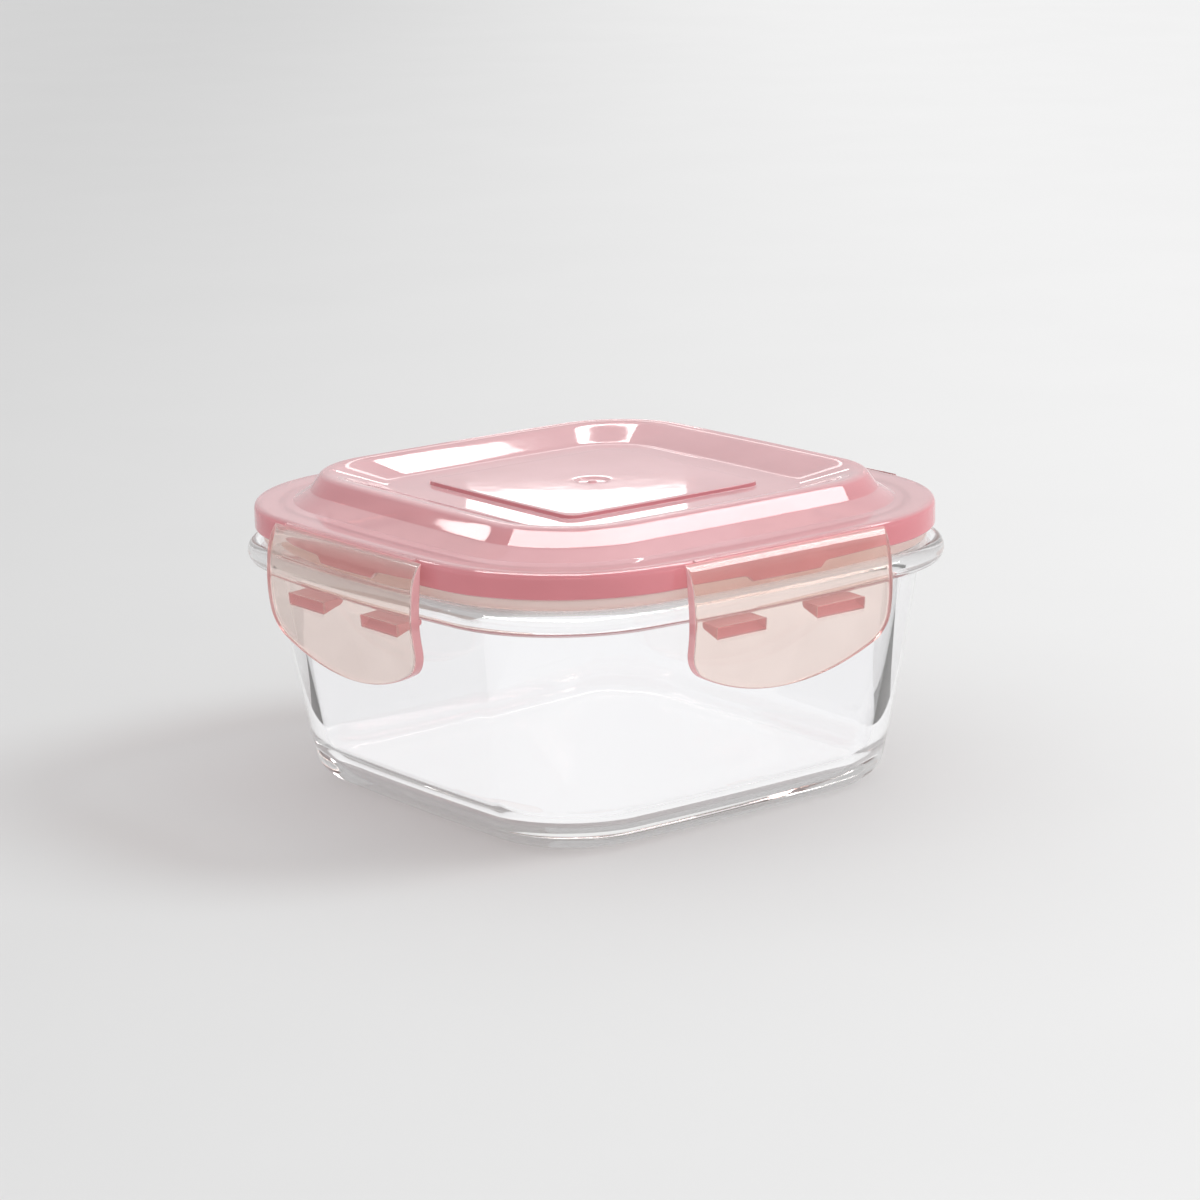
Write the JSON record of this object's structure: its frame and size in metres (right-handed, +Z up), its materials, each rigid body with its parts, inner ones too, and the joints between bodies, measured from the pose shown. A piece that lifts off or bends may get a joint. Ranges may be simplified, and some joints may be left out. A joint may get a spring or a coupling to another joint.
{
  "type": "food storage container",
  "caption": "Square glass food container with sloping walls and a translucent snap lid held by a hinged latch flap on each side.",
  "frame": {"origin": "centre of the base, on the surface that the dish stands on", "axes": "+Z up out of the mouth; the four straight sides face +X, -X, +Y and -Y, and front is -Y"},
  "size_m": [0.16, 0.16, 0.0812],
  "materials": {
    "glass": "clear pressed borosilicate glass, fire polished",
    "lid_plastic": "gloss, moulded translucent pink polypropylene",
    "silicone": "satin, translucent silicone"
  },
  "bodies": {
    "dish": {"glass_dish": "glass"},
    "lid": {"lid": "lid_plastic", "seal_ring": "silicone", "hinge_film_front": "lid_plastic", "hinge_film_right": "lid_plastic", "hinge_film_back": "lid_plastic", "hinge_film_left": "lid_plastic"},
    "flap_front": {"latch_flap_front": "lid_plastic"},
    "flap_right": {"latch_flap_right": "lid_plastic"},
    "flap_back": {"latch_flap_back": "lid_plastic"},
    "flap_left": {"latch_flap_left": "lid_plastic"}
  },
  "joints": [
    {"name": "lid_lift", "type": "slide", "parent": "dish", "child": "lid", "axis": [0, 0, 1], "range_m": [0, 0.16]},
    {"name": "flap_front_hinge", "type": "hinge", "parent": "lid", "child": "flap_front", "pos_m": [0, -0.0761, 0.0736], "axis": [-1, 0, 0], "range_deg": [0, 165]},
    {"name": "flap_right_hinge", "type": "hinge", "parent": "lid", "child": "flap_right", "pos_m": [0.0761, 0, 0.0736], "axis": [0, -1, 0], "range_deg": [0, 165]},
    {"name": "flap_back_hinge", "type": "hinge", "parent": "lid", "child": "flap_back", "pos_m": [0, 0.0761, 0.0736], "axis": [1, 0, 0], "range_deg": [0, 165]},
    {"name": "flap_left_hinge", "type": "hinge", "parent": "lid", "child": "flap_left", "pos_m": [-0.0761, 0, 0.0736], "axis": [0, 1, 0], "range_deg": [0, 165]}
  ]
}
